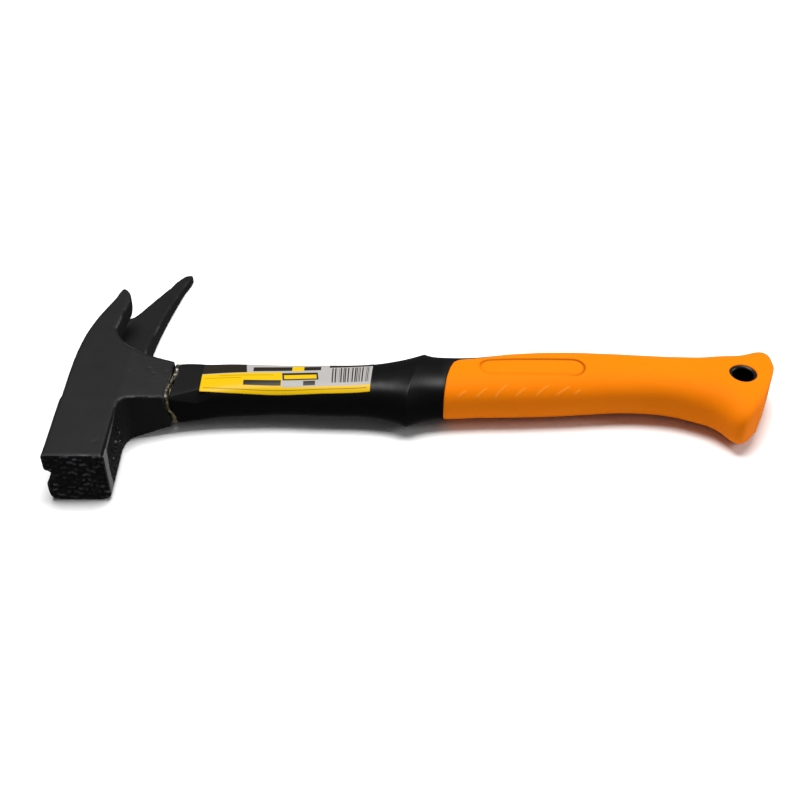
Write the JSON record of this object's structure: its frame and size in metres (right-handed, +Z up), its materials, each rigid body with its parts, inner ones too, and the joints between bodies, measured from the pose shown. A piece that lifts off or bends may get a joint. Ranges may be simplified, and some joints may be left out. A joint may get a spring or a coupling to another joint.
{
  "type": "roofing hammer",
  "caption": "Carpenter's roofing hammer with a milled striking face, a nail groove, a split claw with a long pick, and an overmoulded fibreglass handle.",
  "frame": {"origin": "on the plane that the hammer lies on, under the point where the strike axis crosses the neck's line", "axes": "+X from the head along the handle to the butt, +Y from the striking face towards the claw, +Z up through the thickness, with the hammer lying on its side"},
  "size_m": [0.3335, 0.1685, 0.0265],
  "materials": {
    "black_steel": "forged steel with a thin satin black coating",
    "magnet": "nickel-plated magnet",
    "resin": "cured yellowish resin",
    "fibreglass": "pultruded glass fibre rod",
    "black_plastic": "satin black moulded plastic",
    "orange_rubber": "soft matte orange rubber",
    "label_film": "printed film with plain blocks of colour"
  },
  "bodies": {
    "root": {"hammer_head": "black_steel", "nail_magnet": "magnet", "eye_resin": "resin", "joint_bead": "resin", "fibreglass_core": "fibreglass", "handle_jacket": "black_plastic", "grip": "orange_rubber", "hang_eyelet": "black_plastic", "label": "label_film"}
  },
  "joints": []
}
